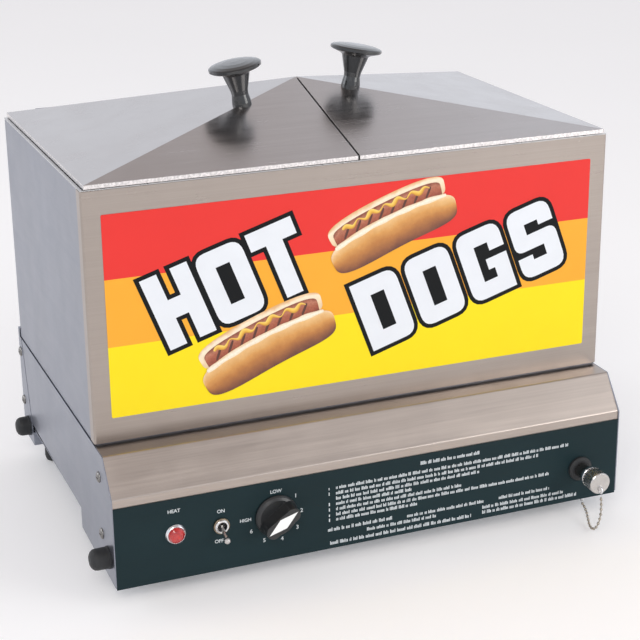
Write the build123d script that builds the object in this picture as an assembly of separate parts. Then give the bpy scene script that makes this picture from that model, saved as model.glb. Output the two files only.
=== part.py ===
from build123d import *
import math
import os

# Countertop hot dog steamer: a stainless cabinet on a low base, two hinged lids
# that together make one shallow pyramid, a water tank with two compartments and
# lift-out racks, a black control panel, and a capped drain with a bead chain.
#
# All sizes are millimetres. The pieces are built in a working frame: X runs across
# the body from its middle, Y runs back from the front sheet of the cabinet, and Z
# runs up from the surface that the feet stand on. At the end everything is shifted
# so that the origin is the middle of the object's footprint.

# ---------------------------------------------------------------- driving sizes
body_width = 495.0
cabinet_depth = 297.5
cabinet_top = 358.6
base_top = 131.6
sheet = 1.0
bend = 1.2
seam_gap = 1.0
front_seam_gap = 2.2
front_flange = 12.0

# lids
lid_rest_gap = 0.8
lid_lip = 3.7
lid_rise = 42.0
lid_side_inset = 3.5
lid_front_proud = 0.5
lid_rear_proud = 1.0
lid_seam_gap = 1.8

# lid knobs
knob_foot_radius = 8.8
knob_waist_radius = 7.6
knob_neck_radius = 12.6
knob_disc_radius = 24.0
knob_height = 39.0
knob_disc_edge = 2.2
knob_left_x = -68.0
knob_left_y = 109.0
knob_right_x = 44.0
knob_right_y = 122.5
knob_screw_radius = 2.0
knob_screw_head_radius = 4.5
knob_screw_drop = 3.0

# lid hinges
hinge_length = 186.0
hinge_knuckles = 6
hinge_pin_radius = 1.5
hinge_knuckle_radius = 2.6
hinge_running = 0.05
hinge_press = 0.02
hinge_end_gap = 0.4
hinge_leaf_height = 20.0
hinge_leaf_gap = 0.5

# base
console_front = 45.5
console_crease = 22.5
console_slope_bottom = 100.5
console_bottom = 17.0
console_bottom_flange = 8.0
console_back_flange = 14.0
side_front = 46.5
side_low_front = 18.0
side_low_rear = 23.5
side_step_y = 68.0
side_raised_front = 43.5
side_raised_rear = 48.0
side_rear_top_inset = 6.5
side_rear_bottom_inset = 31.5
floor_low = 25.0
floor_high = 42.0
rear_cover_proud = 7.5
rear_top_rise = 8.9
rear_box_depth = 41.0
rear_gap = 3.0

# feet and side bumpers
foot_radius = 11.0
foot_flat_radius = 8.0
foot_front_inset = 52.5
foot_front_y = -6.0
foot_rear_inset = 24.5
foot_rear_back_inset = 17.5
bumper_radius = 10.2
bumper_front_length = 17.5
bumper_rear_length = 14.0
bumper_flange = 1.6
bumper_front_y = -28.0
bumper_rear_inset = 13.5
bumper_z = 39.5

# control panel
panel_bottom = 16.0
panel_height = 76.4
panel_thick = 1.0
control_z = 59.3
lamp_inset = 55.2
toggle_inset = 96.5
thermostat_inset = 147.5
lamp_bezel_radius = 9.4
lamp_lens_radius = 7.0
lamp_body_radius = 6.4
toggle_bushing_radius = 6.3
toggle_bore_radius = 4.5
toggle_proud = 3.6
toggle_nut_radius = 7.3
toggle_nut_thick = 1.8
toggle_lever_length = 16.0
toggle_tilt = 28.0
toggle_ball_radius = 3.1
dial_radius = 19.6
dial_skirt = 3.0
dial_grip_width = 15.0
dial_height = 18.5
dial_clear = 0.6
dial_angle = 35.0
pointer_length = 33.0
pointer_width = 10.6
shaft_radius = 3.0
shaft_clear = 0.05

# decal on the front
decal_margin = 16.5
decal_bottom_gap = 24.2
decal_top_gap = 22.0
decal_thick = 0.4

# drain
drain_inset = 41.0
drain_z = 49.0
drain_pipe_radius = 7.0
drain_bore_radius = 5.5
drain_rise_y = 34.0
drain_elbow_radius = 16.0
grommet_radius = 11.8
grommet_thick = 4.0
collar_radius = 9.3
collar_front = 68.5
collar_thick = 4.5
cap_radius = 10.3
cap_front = 84.6
cap_length = 15.6
cap_gap = 0.5
eye_radius = 3.0
eye_wire = 0.9
chain_bead = 2.4

# water tank, divider and racks
tank_gap = 13.0
tank_floor = 100.0
tank_flange_over = 0.5
deck_inset = 2.5
deck_clear = 1.0
seam_bar_half = 14.0
seam_bar_depth = 8.6
rack_clear = 3.0
rack_foot_clear = 0.3
hot_dog_tray_height = 50.0
tray_hole_radius = 5.0
tray_hole_pitch = 25.0
bun_rack_height = 70.0
rack_rod_radius = 2.5
rack_leg_radius = 2.1
rack_leg_inset = 12.0
rack_wire_radius = 1.5
rack_wire_pitch = 22.0
element_radius = 3.5

# fasteners and electrics
side_screw_radius = 5.2
side_screw_head = 2.2
side_screw_shank = 2.2
side_screw_reach = 6.0
side_screw_y = -8.0
side_screw_z = (107.0, 53.0)
cover_screw_inset = 5.5
cover_screw_z = (115.5, 62.5)
gland_x = 150.0
gland_z = 80.0
gland_radius = 9.0
gland_bore_radius = 4.0
gland_proud = 12.0

# ---------------------------------------------------------------- derived values
half = body_width / 2
inner_half = half - sheet
side_rear_top_y = cabinet_depth - side_rear_top_inset
side_rear_bottom_y = cabinet_depth - side_rear_bottom_inset
rear_face = cabinet_depth + rear_cover_proud
foot_front_x = half - foot_front_inset
foot_rear_x = half - foot_rear_inset
foot_rear_y = cabinet_depth - foot_rear_back_inset
bumper_rear_y = cabinet_depth - bumper_rear_inset
lamp_x = lamp_inset - half
toggle_x = toggle_inset - half
thermostat_x = thermostat_inset - half
drain_x = half - drain_inset
decal_width = body_width - 2 * decal_margin
decal_bottom = base_top + decal_bottom_gap
decal_top = cabinet_top - decal_top_gap
rear_top = base_top + rear_top_rise
cover_screw_y = rear_face - cover_screw_inset
wall_bottom = base_top + sheet
wall_top = cabinet_top - sheet
tank_half_x = half - sheet - tank_gap
tank_front_y = sheet + tank_gap
tank_back_y = cabinet_depth - sheet - tank_gap
lid_x = half - lid_side_inset
lid_y0 = -lid_front_proud
lid_y1 = cabinet_depth + lid_rear_proud
lid_mid_y = (lid_y0 + lid_y1) / 2
lid_bottom = cabinet_top + lid_rest_gap
lid_edge = lid_bottom + lid_lip
lid_apex = lid_edge + lid_rise
lid_tilt = math.degrees(math.atan2(lid_rise, lid_x))
panel_face = console_front + panel_thick
seam_half = lid_seam_gap / 2
hinge_y = lid_y1 + hinge_leaf_gap + hinge_knuckle_radius
hinge_z = (lid_bottom + lid_edge) / 2
panel_top = panel_bottom + panel_height
step_inner_y = side_step_y
deck_top = base_top + sheet
divider_x = -(seam_bar_half - sheet)
cap_back = cap_front - cap_length

parts = {}


# ---------------------------------------------------------------- helpers
def block(x0, x1, y0, y1, z0, z1):
    centre = ((x0 + x1) / 2, (y0 + y1) / 2, (z0 + z1) / 2)
    return Pos(*centre) * Box(abs(x1 - x0), abs(y1 - y0), abs(z1 - z0))


def rod_x(y, z, radius, x0, x1):
    return Pos((x0 + x1) / 2, y, z) * Rot(0, 90, 0) * Cylinder(radius, abs(x1 - x0))


def rod_y(x, z, radius, y0, y1):
    return Pos(x, (y0 + y1) / 2, z) * Rot(90, 0, 0) * Cylinder(radius, abs(y1 - y0))


def rod_z(x, y, radius, z0, z1):
    return Pos(x, y, (z0 + z1) / 2) * Cylinder(radius, abs(z1 - z0))


def mirrored(shape):
    return mirror(shape, about=Plane.YZ)


def prism_x(outline, x0, x1):
    face = make_face(Polyline(*outline, close=True))
    return extrude(Plane.YZ.offset(x0) * face, x1 - x0)


def offset_side(points, distance):
    """The same line again, a distance to its left, with mitred corners."""
    moved = []
    for i, (px, py) in enumerate(points):
        normals = []
        for a, b in ((i - 1, i), (i, i + 1)):
            if a < 0 or b >= len(points):
                continue
            dx = points[b][0] - points[a][0]
            dy = points[b][1] - points[a][1]
            length = math.hypot(dx, dy)
            normals.append((-dy / length, dx / length))
        nx = sum(n[0] for n in normals)
        ny = sum(n[1] for n in normals)
        scale = len(normals) * distance / (nx * nx + ny * ny)
        moved.append((px + nx * scale, py + ny * scale))
    return moved


def near(face, point):
    target = Vector(point[0], point[1], 0)
    return sorted(face.vertices(), key=lambda v: (Vector(v.X, v.Y, v.Z) - target).length)[0]


def folded(points, thick=sheet, inner=bend):
    """The cut face of a folded sheet, given by its outer line. The metal is on the left."""
    other = offset_side(points, thick)
    face = make_face(Polyline(*points, *reversed(other), close=True)).faces()[0]
    for i in range(1, len(points) - 1):
        ax = points[i][0] - points[i - 1][0]
        ay = points[i][1] - points[i - 1][1]
        bx = points[i + 1][0] - points[i][0]
        by = points[i + 1][1] - points[i][1]
        left_turn = ax * by - ay * bx > 0
        near_side, far_side = (inner + thick, inner) if left_turn else (inner, inner + thick)
        face = face.fillet_2d(near_side, [near(face, points[i])])
        face = face.fillet_2d(far_side, [near(face, other[i])])
    return face


def folded_x(points, x0, x1, thick=sheet, inner=bend):
    return extrude(Plane.YZ.offset(x0) * folded(points, thick, inner), x1 - x0)


def folded_z(points, z0, z1, thick=sheet, inner=bend):
    return extrude(Plane.XY.offset(z0) * folded(points, thick, inner), z1 - z0)


def turned(profile, place):
    """A body of revolution from (radius, height) points, about the local Z of a plane."""
    face = make_face(Polyline(*[(r, h) for r, h in profile], close=True))
    return place * revolve(Plane.XZ * face, Axis.Z)


def roof(x0, x1, y0, y1, z_low, z_edge, z_apex, x_apex, y_apex):
    """A shallow four-sided pyramid on a low upright lip."""
    lip = block(x0, x1, y0, y1, z_low, z_edge)
    base = Plane.XY.offset(z_edge) * Pos((x0 + x1) / 2, (y0 + y1) / 2) * Rectangle(x1 - x0, y1 - y0)
    top = loft([base.faces()[0], Vertex(x_apex, y_apex, z_apex)], ruled=True)
    return lip + top


# ---------------------------------------------------------------- cabinet
front_line = [
    (-half, front_flange),
    (-half, 0),
    (half, 0),
    (half, front_flange),
]
parts["cabinet_front"] = folded_z(front_line, base_top + front_seam_gap, wall_top)

wall_x = inner_half
parts["cabinet_side_left"] = block(
    -wall_x, -wall_x + sheet, sheet + bend, cabinet_depth - sheet, wall_bottom, wall_top
)
parts["cabinet_side_right"] = mirrored(parts["cabinet_side_left"])
parts["cabinet_back"] = block(
    -wall_x, wall_x, cabinet_depth - sheet, cabinet_depth, wall_bottom, wall_top
)

deck_outline = block(
    -half + deck_inset,
    half - deck_inset,
    deck_inset + sheet,
    cabinet_depth - sheet,
    base_top,
    deck_top,
)
deck_hole = block(
    -tank_half_x - sheet - deck_clear,
    tank_half_x + sheet + deck_clear,
    tank_front_y - sheet - deck_clear,
    tank_back_y + sheet + deck_clear,
    base_top - 1,
    deck_top + 1,
)
parts["base_deck"] = deck_outline - deck_hole

# tank: a deep tub that hangs by its flange from the top of the cabinet walls
flange_x = half - tank_flange_over
flange_plate = block(
    -flange_x, flange_x, tank_flange_over, cabinet_depth - tank_flange_over, wall_top, cabinet_top
)
tub_outer = block(
    -tank_half_x - sheet,
    tank_half_x + sheet,
    tank_front_y - sheet,
    tank_back_y + sheet,
    tank_floor - sheet,
    cabinet_top,
)
tub_inner = block(
    -tank_half_x, tank_half_x, tank_front_y, tank_back_y, tank_floor, cabinet_top + 1
)
drain_hole = rod_z(drain_x, drain_rise_y, drain_bore_radius, tank_floor - 3, tank_floor + 3)
parts["water_tank"] = flange_plate + tub_outer - tub_inner - drain_hole

bar_line = [
    (-seam_bar_half, cabinet_top - seam_bar_depth),
    (-seam_bar_half, cabinet_top),
    (seam_bar_half, cabinet_top),
    (seam_bar_half, cabinet_top - seam_bar_depth),
]
bar_face = Plane.XZ.offset(-tank_back_y) * folded([(x, z) for x, z in reversed(bar_line)])
parts["seam_bar"] = extrude(bar_face, tank_back_y - tank_front_y)

parts["compartment_divider"] = block(
    divider_x,
    divider_x + sheet,
    tank_front_y,
    tank_back_y,
    tank_floor,
    cabinet_top - seam_bar_depth,
)

# ---------------------------------------------------------------- lids
lid_outer = roof(
    -lid_x, lid_x, lid_y0, lid_y1, lid_bottom, lid_edge, lid_apex, 0, lid_mid_y
)
lid_inner = roof(
    -lid_x + sheet,
    lid_x - sheet,
    lid_y0 + sheet,
    lid_y1 - sheet,
    lid_bottom - 1,
    lid_edge - 0.8 * sheet,
    lid_apex - 1.04 * sheet,
    0,
    lid_mid_y,
)
far = 1000.0
left_outer = lid_outer & block(-far, -seam_half, -far, far, 0, far)
left_inner = lid_inner & block(-far, -seam_half - sheet, -far, far, 0, far)
right_outer = lid_outer & block(seam_half, far, -far, far, 0, far)
right_inner = lid_inner & block(seam_half + sheet, far, -far, far, 0, far)

knob_profile = [
    (0, -8),
    (knob_foot_radius, -8),
    (knob_foot_radius, 1.2),
    (knob_waist_radius + 0.7, 5.0),
    (knob_waist_radius, 9.0),
    (knob_waist_radius + 0.5, 13.0),
    (knob_neck_radius, knob_height - 10.6),
    (knob_neck_radius + 2.4, knob_height - 9.0),
    (knob_disc_radius - 1.4, knob_height - 6.4),
    (knob_disc_radius, knob_height - 5.4),
    (knob_disc_radius, knob_height - 5.4 + knob_disc_edge),
    (knob_disc_radius - 1.6, knob_height - 2.2),
    (knob_disc_radius - 6.0, knob_height - 1.1),
    (knob_disc_radius - 13.0, knob_height - 0.3),
    (0, knob_height),
]
screw_profile = [
    (0, -knob_screw_drop - 2.6),
    (knob_screw_head_radius - 1.2, -knob_screw_drop - 2.6),
    (knob_screw_head_radius, -knob_screw_drop - 1.4),
    (knob_screw_head_radius, -knob_screw_drop),
    (knob_screw_radius, -knob_screw_drop),
    (knob_screw_radius, 14.0),
    (0, 14.0),
]
screw_hole_profile = [
    (0, -10.0),
    (knob_screw_radius + 0.05, -10.0),
    (knob_screw_radius + 0.05, 14.5),
    (0, 14.5),
]


def knob_place(x, y, side):
    """A knob's foot at the roof's height there, tilted square to the lid's side slope."""
    up_side = (lid_x - abs(x)) / lid_x
    up_front = (y - lid_y0) / (lid_mid_y - lid_y0)
    z = lid_edge + lid_rise * min(up_side, up_front)
    return Pos(x, y, z) * Rot(0, side * lid_tilt, 0)


left_place = knob_place(knob_left_x, knob_left_y, -1)
right_place = knob_place(knob_right_x, knob_right_y, 1)
parts["lid_left"] = left_outer - left_inner - turned(screw_hole_profile, left_place)
parts["lid_right"] = right_outer - right_inner - turned(screw_hole_profile, right_place)
knob_cut_left = turned(screw_hole_profile, left_place)
knob_cut_right = turned(screw_hole_profile, right_place)
parts["knob_left"] = turned(knob_profile, left_place) - lid_outer - knob_cut_left
parts["knob_right"] = turned(knob_profile, right_place) - lid_outer - knob_cut_right
parts["knob_screw_left"] = turned(screw_profile, left_place)
parts["knob_screw_right"] = turned(screw_profile, right_place)


# ---------------------------------------------------------------- lid hinges
def hinge(middle_x):
    """Fixed leaf, moving leaf and pin of one lid's long hinge."""
    x0 = middle_x - hinge_length / 2
    pitch = hinge_length / hinge_knuckles
    plate_y1 = cabinet_depth + sheet
    fixed = block(
        x0,
        x0 + hinge_length,
        cabinet_depth,
        plate_y1,
        cabinet_top - 2 - hinge_leaf_height,
        cabinet_top - 2,
    )
    moving = None
    for i in range(hinge_knuckles):
        a = x0 + i * pitch + hinge_end_gap / 2
        b = x0 + (i + 1) * pitch - hinge_end_gap / 2
        barrel = rod_x(hinge_y, hinge_z, hinge_knuckle_radius, a, b)
        if i % 2 == 0:
            web = prism_x(
                [
                    (cabinet_depth, cabinet_top - 4),
                    (plate_y1, cabinet_top - 4),
                    (hinge_y + 1.2, hinge_z - hinge_knuckle_radius + 0.6),
                    (hinge_y - 0.9, hinge_z - hinge_knuckle_radius + 0.6),
                    (cabinet_depth, cabinet_top - 2),
                ],
                a,
                b,
            )
            bore = rod_x(hinge_y, hinge_z, hinge_pin_radius - hinge_press, a - 1, b + 1)
            fixed = fixed + web + barrel - bore
        else:
            web = block(a, b, lid_y1, hinge_y - 0.5, lid_bottom, lid_bottom + 1.2 + sheet)
            bore = rod_x(hinge_y, hinge_z, hinge_pin_radius + hinge_running, a - 1, b + 1)
            piece = web + barrel - bore
            moving = piece if moving is None else moving + piece
    strip = block(x0, x0 + hinge_length, lid_y1, lid_y1 + 0.45, lid_bottom, lid_edge - 0.4)
    moving = moving + strip
    pin = rod_x(hinge_y, hinge_z, hinge_pin_radius, x0 - 1.0, x0 + hinge_length + 1.0)
    return fixed, moving, pin


for side, middle_x in (("left", -lid_x / 2), ("right", lid_x / 2)):
    fixed_leaf, moving_leaf, pin = hinge(middle_x)
    parts["hinge_leaf_" + side] = fixed_leaf
    parts["lid_hinge_leaf_" + side] = moving_leaf
    parts["hinge_pin_" + side] = pin

# ---------------------------------------------------------------- base
side_outline = [
    (-side_front, side_low_front),
    (side_step_y, side_low_rear),
    (side_step_y, side_raised_front),
    (side_rear_bottom_y, side_raised_rear),
    (side_rear_top_y, base_top),
    (-console_crease, base_top),
    (-side_front, console_slope_bottom),
]
parts["base_side_left"] = prism_x(side_outline, -half, -inner_half)
parts["base_side_right"] = mirrored(parts["base_side_left"])

console_line = [
    (-console_front + console_bottom_flange, console_bottom),
    (-console_front, console_bottom),
    (-console_front, console_slope_bottom),
    (-console_crease, base_top),
    (deck_inset + sheet - 0.2, base_top),
]
console = folded_x(list(reversed(console_line)), -inner_half, inner_half)

holes = []
holes.append(rod_y(lamp_x, control_z, lamp_body_radius + 0.2, -60, 0))
holes.append(rod_y(toggle_x, control_z, toggle_bushing_radius - 0.5, -60, 0))
holes.append(rod_y(thermostat_x, control_z, shaft_radius + 1.2, -60, 0))
holes.append(rod_y(drain_x, drain_z, drain_pipe_radius + 1.0, -60, 0))
for hole in holes:
    console = console - hole
parts["base_console"] = console

control_panel = block(
    -inner_half, inner_half, -panel_face, -console_front, panel_bottom, panel_top
)
for hole in holes:
    control_panel = control_panel - hole
parts["control_panel"] = control_panel

floor_front = -console_front + sheet + 0.5
floor_end = rear_face - rear_box_depth - 1.0
floor_line = [
    (floor_front, floor_low),
    (step_inner_y - 1, floor_low),
    (step_inner_y - 1, floor_high),
    (floor_end, floor_high),
]
parts["base_floor"] = folded_x(floor_line, -inner_half, inner_half)

# rear cover: a tall box along the back of the base
gap_lean = (side_rear_top_y - side_rear_bottom_y) / (base_top - side_raised_rear)
strip_outline = [
    (rear_face, floor_low),
    (rear_face, rear_top),
    (cabinet_depth + 1.5, rear_top),
    (cabinet_depth + 1.5, base_top),
    (side_rear_top_y + rear_gap, base_top),
    (side_rear_bottom_y + rear_gap, side_raised_rear),
    (side_rear_bottom_y + rear_gap, floor_high - 3),
    (rear_face - rear_box_depth, floor_high - 3),
    (rear_face - rear_box_depth, floor_low),
]
cover_side = prism_x(strip_outline, -half, -inner_half)
cover = block(-half, half, rear_face - sheet, rear_face, floor_low, rear_top)
cover = cover + cover_side + mirrored(cover_side)
cover = cover + block(
    -half, half, rear_face - rear_box_depth, rear_face, floor_low, floor_low + sheet
)
cover = cover + block(
    -half,
    half,
    rear_face - rear_box_depth,
    rear_face - rear_box_depth + sheet,
    floor_low,
    floor_high - 3,
)
cover = cover + block(-half, half, cabinet_depth + 1.5, rear_face, rear_top - sheet, rear_top)
gland_hole = rod_y(gland_x, gland_z, gland_radius - 1.5, rear_face - 5, rear_face + 5)
parts["rear_cover"] = cover - gland_hole


# ---------------------------------------------------------------- feet and bumpers
def foot(x, y, top):
    profile = [
        (0, 0),
        (foot_flat_radius, 0),
        (foot_flat_radius + 1.8, 0.9),
        (foot_radius - 0.5, 2.6),
        (foot_radius, 5.0),
        (foot_radius, top),
        (0, top),
    ]
    return turned(profile, Pos(x, y, 0))


parts["foot_front_left"] = foot(-foot_front_x, foot_front_y, floor_low)
parts["foot_front_right"] = foot(foot_front_x, foot_front_y, floor_low)
parts["foot_rear_left"] = foot(-foot_rear_x, foot_rear_y, floor_low)
parts["foot_rear_right"] = foot(foot_rear_x, foot_rear_y, floor_low)


def bumper(y, length):
    profile = [
        (0, 0),
        (bumper_radius, 0),
        (bumper_radius, bumper_flange),
        (bumper_radius - 0.5, bumper_flange + 0.3),
        (bumper_radius - 0.6, length - 6.0),
        (bumper_radius - 1.2, length - 3.6),
        (bumper_radius - 2.8, length - 1.6),
        (bumper_radius - 5.2, length - 0.4),
        (0, length),
    ]
    return turned(profile, Pos(-half, y, bumper_z) * Rot(0, -90, 0))


parts["bumper_front_left"] = bumper(bumper_front_y, bumper_front_length)
parts["bumper_rear_left"] = bumper(bumper_rear_y, bumper_rear_length)


# ---------------------------------------------------------------- screws
def side_screws(y, heights):
    """Truss-head screws in the left side, with a straight slot, as one set."""
    group = None
    for z in heights:
        profile = [
            (0, -side_screw_reach),
            (side_screw_shank, -side_screw_reach),
            (side_screw_shank, 0),
            (side_screw_radius, 0),
            (side_screw_radius - 0.2, 0.6),
            (side_screw_radius * 0.78, side_screw_head * 0.68),
            (side_screw_radius * 0.45, side_screw_head * 0.95),
            (0, side_screw_head),
        ]
        screw = turned(profile, Pos(-half, y, z) * Rot(0, -90, 0))
        slot = Pos(-half - side_screw_head, y, z) * Box(1.8, 2 * side_screw_radius * 0.62, 1.1)
        screw = screw - slot
        group = screw if group is None else group + screw
    return group


screw_holes_front = None
for z in side_screw_z:
    hole = rod_x(side_screw_y, z, side_screw_shank + 0.1, -half - 1, half + 1)
    screw_holes_front = hole if screw_holes_front is None else screw_holes_front + hole
screw_holes_rear = None
for z in cover_screw_z:
    hole = rod_x(cover_screw_y, z, side_screw_shank + 0.1, -half - 1, half + 1)
    screw_holes_rear = hole if screw_holes_rear is None else screw_holes_rear + hole
parts["base_side_left"] = parts["base_side_left"] - screw_holes_front
parts["base_side_right"] = parts["base_side_right"] - screw_holes_front
parts["rear_cover"] = parts["rear_cover"] - screw_holes_rear
parts["side_screws_left"] = side_screws(side_screw_y, side_screw_z)
parts["side_screws_right"] = mirrored(parts["side_screws_left"])
parts["cover_screws_left"] = side_screws(cover_screw_y, cover_screw_z)
parts["cover_screws_right"] = mirrored(parts["cover_screws_left"])

# ---------------------------------------------------------------- decal
decal_face = Plane.XZ * Pos(0, (decal_bottom + decal_top) / 2) * RectangleRounded(
    decal_width, decal_top - decal_bottom, 1.5
)
parts["front_decal"] = extrude(decal_face, decal_thick)

# ---------------------------------------------------------------- pilot lamp
face_y = -panel_face
lamp_place = Pos(lamp_x, face_y, control_z) * Rot(90, 0, 0)
bezel_profile = [
    (lamp_lens_radius + 0.1, 0),
    (lamp_bezel_radius, 0),
    (lamp_bezel_radius, 0.8),
    (lamp_bezel_radius - 1.0, 2.2),
    (lamp_lens_radius + 0.7, 2.8),
    (lamp_lens_radius + 0.1, 2.4),
]
parts["lamp_bezel"] = turned(bezel_profile, lamp_place)
lens_profile = [
    (0, 0),
    (lamp_lens_radius, 0),
    (lamp_lens_radius, 2.6),
    (lamp_lens_radius - 0.5, 4.2),
    (lamp_lens_radius - 2.0, 5.6),
    (lamp_lens_radius - 4.2, 6.3),
    (0, 6.6),
]
parts["lamp_lens"] = turned(lens_profile, lamp_place)
parts["lamp_body"] = turned(
    [(0, -26), (lamp_body_radius, -26), (lamp_body_radius, 0), (0, 0)], lamp_place
)

# ---------------------------------------------------------------- toggle switch
toggle_place = Pos(toggle_x, face_y, control_z) * Rot(90, 0, 0)
bushing_profile = [
    (toggle_bore_radius, -2.0),
    (toggle_bushing_radius - 0.6, -2.0),
    (toggle_bushing_radius - 0.6, 0),
    (toggle_bushing_radius, 0),
    (toggle_bushing_radius, toggle_proud - 0.5),
    (toggle_bushing_radius - 0.5, toggle_proud),
    (toggle_bore_radius, toggle_proud),
]
parts["toggle_bushing"] = turned(bushing_profile, toggle_place)
nut_face = Circle(toggle_nut_radius)
nut = toggle_place * extrude(nut_face, toggle_nut_thick)
parts["toggle_nut"] = nut - turned(
    [
        (0, -1),
        (toggle_bushing_radius, -1),
        (toggle_bushing_radius, toggle_nut_thick + 1),
        (0, toggle_nut_thick + 1),
    ],
    toggle_place,
)
switch_front = -panel_face + 2.0
parts["toggle_switch"] = block(
    toggle_x - 7,
    toggle_x + 7,
    switch_front + 2.2,
    switch_front + 26,
    control_z - 13,
    control_z + 13,
) + rod_y(toggle_x, control_z, toggle_bushing_radius - 0.6, switch_front, switch_front + 2.2)
pivot_y = face_y - toggle_proud + 2.5
lever_place = Pos(toggle_x, pivot_y, control_z) * Rot(90, 0, 0) * Rot(toggle_tilt, 0, 0)
lever_profile = [
    (0, -1.6),
    (1.5, -1.3),
    (1.7, 0),
    (1.55, 2.0),
    (1.6, 6.0),
    (2.1, toggle_lever_length - 2.4),
    (2.7, toggle_lever_length - 1.5),
    (toggle_ball_radius, toggle_lever_length),
    (2.7, toggle_lever_length + 1.5),
    (1.6, toggle_lever_length + 2.6),
    (0, toggle_lever_length + toggle_ball_radius),
]
parts["toggle_lever"] = turned(lever_profile, lever_place)

# ---------------------------------------------------------------- thermostat and dial
dial_y = face_y - dial_clear
dial_place = Pos(thermostat_x, dial_y, control_z) * Rot(90, 0, 0)
skirt_profile = [
    (0, 0),
    (dial_radius, 0),
    (dial_radius, 1.4),
    (dial_radius - 1.2, dial_skirt),
    (dial_radius - 3.4, dial_skirt + 1.4),
    (0, dial_skirt + 1.4),
]
grip_length = 2 * dial_radius - 1.6
grip_face = Rot(0, 0, dial_angle) * SlotOverall(grip_length, dial_grip_width)
grip = dial_place * extrude(grip_face, dial_height, taper=3)
dial = turned(skirt_profile, dial_place) + grip
pointer_sink = 0.6
tip = pointer_length / 2
wide = pointer_width / 2
diamond = make_face(Polyline((-tip, 0), (0, -wide), (tip, 0), (0, wide), close=True))
diamond = Rot(0, 0, dial_angle) * diamond
pointer_cut = dial_place * extrude(Pos(0, 0, dial_height - pointer_sink) * diamond, 2.0)
shaft_hole = rod_y(thermostat_x, control_z, shaft_radius, dial_y - 9.0, dial_y + 1)
parts["thermostat_dial"] = dial - pointer_cut - shaft_hole
parts["dial_pointer"] = dial_place * extrude(
    Pos(0, 0, dial_height - pointer_sink) * diamond, pointer_sink
)
shaft_end = face_y + 14.0
parts["thermostat_shaft"] = rod_y(
    thermostat_x, control_z, shaft_radius, dial_y - 9.0, shaft_end - 4.0
)
thermostat = block(
    thermostat_x - 20,
    thermostat_x + 20,
    -console_front + sheet,
    shaft_end + 18.0,
    control_z - 24,
    control_z + 24,
)
thermostat = thermostat - rod_y(
    thermostat_x, control_z, shaft_radius + shaft_clear, -console_front, shaft_end
)
parts["thermostat_body"] = thermostat

# ---------------------------------------------------------------- drain
pipe_path = FilletPolyline(
    (drain_x, -collar_front + 1.0, drain_z),
    (drain_x, drain_rise_y, drain_z),
    (drain_x, drain_rise_y, tank_floor - sheet),
    radius=drain_elbow_radius,
)
pipe_plane = Plane(origin=pipe_path @ 0, z_dir=pipe_path % 0)
pipe_ring = pipe_plane * Circle(drain_pipe_radius) - pipe_plane * Circle(drain_bore_radius)
parts["drain_pipe"] = sweep(pipe_ring, path=pipe_path)
grommet_place = Pos(drain_x, face_y, drain_z) * Rot(90, 0, 0)
parts["drain_grommet"] = turned(
    [
        (drain_pipe_radius, 0),
        (grommet_radius, 0),
        (grommet_radius, grommet_thick - 1.6),
        (grommet_radius - 1.4, grommet_thick - 0.3),
        (grommet_radius - 2.6, grommet_thick),
        (drain_pipe_radius, grommet_thick),
    ],
    grommet_place,
)
collar_place = Pos(drain_x, -collar_front + collar_thick, drain_z) * Rot(90, 0, 0)
parts["drain_collar"] = turned(
    [
        (drain_pipe_radius, 0),
        (collar_radius - 0.8, 0),
        (collar_radius, 0.8),
        (collar_radius, collar_thick - 0.8),
        (collar_radius - 0.8, collar_thick),
        (drain_pipe_radius, collar_thick),
    ],
    collar_place,
)
cap_place = Pos(drain_x, -cap_back - cap_gap, drain_z) * Rot(90, 0, 0)
cap_end = cap_length - cap_gap
cap = turned(
    [
        (0, 1.0),
        (drain_bore_radius - 1.5, 1.0),
        (drain_bore_radius - 1.5, 0),
        (cap_radius - 0.6, 0),
        (cap_radius, 0.6),
        (cap_radius, cap_end - 0.8),
        (cap_radius - 0.8, cap_end),
        (0, cap_end),
    ],
    cap_place,
)
flutes = 24
for i in range(flutes):
    angle = 360 * i / flutes
    groove = Rot(0, 0, angle) * Pos(cap_radius + 0.25, 0, cap_end / 2 - 1.6)
    cap = cap - cap_place * (groove * Cylinder(0.8, cap_end - 5.2))
parts["drain_cap"] = cap
eye_place = Pos(drain_x, -cap_front - eye_wire + 0.3, drain_z - cap_radius * 0.58)
parts["cap_eye"] = eye_place * Rot(0, 90, 0) * Torus(eye_radius, eye_wire)
parts["cap_eye"] = parts["cap_eye"] - cap_place * Pos(0, 0, cap_end / 2) * Cylinder(cap_radius, cap_end)

anchor_x = drain_x + 6.5
anchor_ring = 2.2
anchor_wire = 0.7
anchor_y = -console_front + anchor_ring + anchor_wire + 0.3
anchor_z = console_bottom - sheet - anchor_ring + 0.3
anchor = block(
    anchor_x - 3.5, anchor_x + 3.5, anchor_y - 1.5, anchor_y + 4.5, console_bottom - sheet, console_bottom
)
anchor = anchor + Pos(anchor_x, anchor_y, anchor_z) * Rot(0, 90, 0) * Torus(anchor_ring, anchor_wire)
parts["chain_anchor"] = anchor

# The chain hangs from the cap to the surface and comes back to its anchor. These are
# the points where it changes direction; every corner is eased by an arc.
chain_route = [
    (drain_x, -cap_front - eye_wire + 0.3 - 1.6, drain_z - cap_radius * 0.58 - 6.4),
    (drain_x - 0.6, -cap_front - 5.2, drain_z - 22.5),
    (drain_x - 3.0, -cap_front - 6.8, drain_z - 35.0),
    (drain_x - 5.6, -cap_front - 3.4, drain_z - 44.6),
    (drain_x - 4.6, -cap_front + 6.8, drain_z - 47.4),
    (drain_x + 0.6, -cap_front + 19.6, drain_z - 44.4),
    (drain_x + 4.4, -cap_front + 29.6, drain_z - 40.6),
    (anchor_x, anchor_y - 1.0, anchor_z - anchor_ring - anchor_wire - 0.9),
]


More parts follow.
